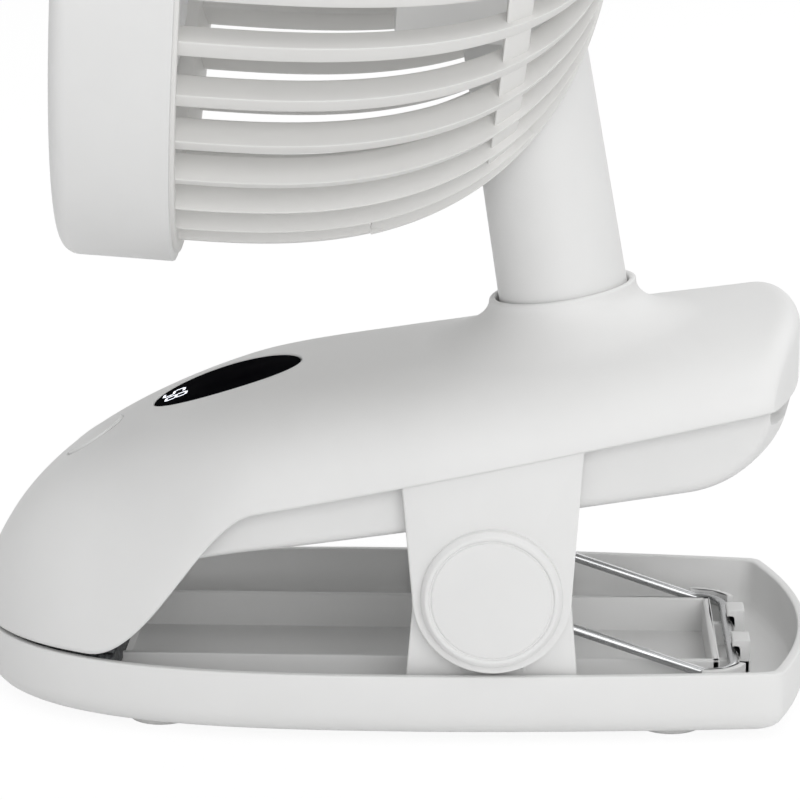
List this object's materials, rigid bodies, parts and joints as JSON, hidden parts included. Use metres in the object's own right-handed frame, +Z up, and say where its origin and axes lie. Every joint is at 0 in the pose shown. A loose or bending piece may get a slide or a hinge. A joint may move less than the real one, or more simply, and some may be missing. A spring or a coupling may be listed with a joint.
{
  "type": "clip-on desk fan",
  "caption": "White battery fan: a louvred round head tilts and swivels on a leaning post that stands on a sprung clip, which doubles as a desk base.",
  "frame": {"origin": "point on the flat underside of the clip's base tray, straight under the jaw's pivot axis", "axes": "+Z up; the fan blows towards -Y, which is also the side of the clip's mouth; X runs along the jaw's pivot axis"},
  "size_m": [0.1548, 0.1723, 0.2463],
  "materials": {
    "white_shell": "fine moulded texture",
    "white_cage": "fine moulded texture",
    "white_blade": "satin",
    "grey_pad": "matte silicone",
    "pale_foot": "matte silicone",
    "steel": "bright drawn wire and turned steel",
    "black_window": "polished",
    "dark_plastic": "plain",
    "circuit_board": "solder resist",
    "cell_sleeve": "shrink sleeve"
  },
  "bodies": {
    "base": {"base_tray": "white_shell", "lower_pad": "grey_pad", "foot_front_left": "pale_foot", "foot_front_right": "pale_foot", "foot_rear_left": "pale_foot", "foot_rear_right": "pale_foot", "pivot_pin": "steel", "clip_spring": "steel"},
    "upper_jaw": {"top_shell": "white_shell", "belly_cover": "white_shell", "upper_pad": "grey_pad", "pivot_cap_right": "white_shell", "pivot_cap_left": "white_shell", "display_window": "black_window", "digit_module": "dark_plastic", "battery_cell_front": "cell_sleeve", "battery_cell_rear": "cell_sleeve", "main_board": "circuit_board", "charge_socket": "steel", "cover_screw_front_left": "steel", "cover_screw_front_right": "steel", "cover_screw_rear_left": "steel", "cover_screw_rear_right": "steel", "swivel_washer": "dark_plastic"},
    "power_button": {"power_button": "white_shell"},
    "neck": {"neck_post": "white_shell", "swivel_retainer": "dark_plastic", "tilt_pin": "steel"},
    "head": {"front_ring": "white_shell", "front_grille": "white_cage", "grille_cap": "white_shell", "cage_lower_right": "white_cage", "cage_upper_right": "white_cage", "cage_upper_left": "white_cage", "cage_lower_left": "white_cage", "slot_frame": "white_cage", "motor_bracket": "white_shell", "motor_case": "white_shell", "motor_can": "steel", "motor_screw_upper": "steel", "motor_screw_lower_left": "steel", "motor_screw_lower_right": "steel", "bridge_screw_left": "steel", "bridge_screw_right": "steel"},
    "rotor": {"impeller": "white_blade", "motor_shaft": "steel"}
  },
  "joints": [
    {"name": "jaw_open", "type": "hinge", "parent": "base", "child": "upper_jaw", "pos_m": [0, 0, 0.0293], "axis": [-1, 0, 0], "range_deg": [0, 28], "stiffness_Nm_per_rad": 1.2, "springref_deg": -34.38, "deforming": ["clip_spring"]},
    {"name": "button_press", "type": "slide", "parent": "upper_jaw", "child": "power_button", "axis": [0, 0.5471, -0.837], "range_m": [0, 0.0006], "stiffness_N_per_m": 900},
    {"name": "neck_swivel", "type": "hinge", "parent": "upper_jaw", "child": "neck", "pos_m": [0, 0.0135, 0.0829], "axis": [0, -0.1633, 0.9866], "range_deg": [-175, 175]},
    {"name": "head_tilt", "type": "hinge", "parent": "neck", "child": "head", "pos_m": [0, 0.00045, 0.16173], "axis": [-0.9987, -0.0499, -0.0083], "range_deg": [-10, 42]},
    {"name": "fan_spin", "type": "hinge", "parent": "head", "child": "rotor", "pos_m": [0, 0.00045, 0.16173], "axis": [-0.0491, 0.9957, -0.0787], "continuous": true}
  ]
}
